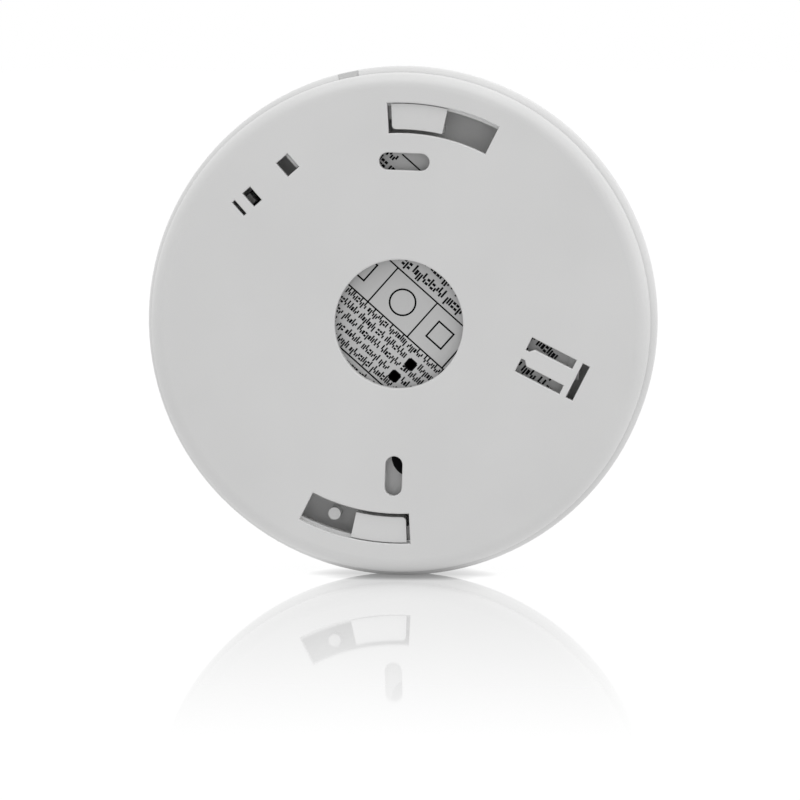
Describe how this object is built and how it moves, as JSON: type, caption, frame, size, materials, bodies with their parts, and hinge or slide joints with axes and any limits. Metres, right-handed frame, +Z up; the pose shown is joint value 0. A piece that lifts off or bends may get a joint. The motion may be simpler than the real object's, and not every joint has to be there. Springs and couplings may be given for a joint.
{
  "type": "smoke detector",
  "caption": "Round white optical smoke alarm on its twist-lock mounting plate, with a test button, sounder, smoke chamber, sealed battery and slide switch inside.",
  "frame": {"origin": "centre of the mounting plate's round hole, at the plate's wall face", "axes": "+Y out of the wall into the room, +Z up along the line through the two screw slots, +X to the right as seen from the wall side"},
  "size_m": [0.102, 0.0375, 0.102],
  "materials": {
    "white_plastic": "smooth moulded ABS, satin",
    "label_film": "printed polyester label, satin",
    "zinc_steel": "zinc-plated",
    "green_board": "green solder resist on glass-fibre board",
    "black_plastic": "matt black",
    "steel_mesh": "fine woven mesh",
    "clear_epoxy": "water-clear epoxy",
    "dark_epoxy": "infrared-pass epoxy",
    "grey_plastic": "light grey moulding",
    "brass_sheet": "rolled brass",
    "ceramic": "fired ceramic",
    "nickel_steel": "nickel-plated",
    "cell_sleeve": "plain printed shrink sleeve",
    "can_aluminium": "sleeved aluminium cans",
    "ferrite": "sintered ferrite",
    "copper_wire": "enamelled copper",
    "button_red": "moulded",
    "lamp_red": "diffused red epoxy",
    "clear_plastic": "clear polycarbonate"
  },
  "bodies": {
    "plate": {"mounting_plate": "white_plastic"},
    "alarm": {"battery": "cell_sleeve", "battery_clamp": "black_plastic", "battery_tabs": "nickel_steel", "button_spring": "nickel_steel", "capacitors": "can_aluminium", "chamber_base": "black_plastic", "chamber_lid": "black_plastic", "chip_capacitors": "ceramic", "chip_resistors": "black_plastic", "front_cover": "white_plastic", "horn_driver_chip": "black_plastic", "housing_screws": "zinc_steel", "inductor_core": "ferrite", "inductor_winding": "copper_wire", "infrared_led": "clear_epoxy", "insect_screen": "steel_mesh", "light_pipe": "clear_plastic", "microcontroller": "black_plastic", "pcb": "green_board", "photodiode": "dark_epoxy", "piezo_ceramic": "ceramic", "piezo_disc": "brass_sheet", "piezo_springs": "nickel_steel", "rear_housing": "white_plastic", "rear_label": "label_film", "slide_switch": "black_plastic", "sounder_horn": "grey_plastic", "status_led": "lamp_red", "test_switch": "black_plastic"},
    "button": {"test_button": "white_plastic"},
    "plunger": {"switch_plunger": "button_red"},
    "slider": {"power_slider": "grey_plastic"}
  },
  "joints": [
    {"name": "twist_lock", "type": "hinge", "parent": "plate", "child": "alarm", "pos_m": [0, 0, 0], "axis": [0, 1, 0], "range_deg": [0, 13.2]},
    {"name": "test_press", "type": "slide", "parent": "alarm", "child": "button", "axis": [0, -1, 0], "range_m": [0, 0.0005], "stiffness_N_per_m": 600, "deforming": ["button_spring"]},
    {"name": "plunger_press", "type": "slide", "parent": "alarm", "child": "plunger", "axis": [0, -1, 0], "range_m": [0, 0.0005]},
    {"name": "power_slide", "type": "slide", "parent": "alarm", "child": "slider", "axis": [0.726, 0, 0.6877], "range_m": [0, 0.0024]}
  ],
  "couplings": [
    {"joint": "plunger_press", "follows": "test_press", "ratio": 1}
  ]
}
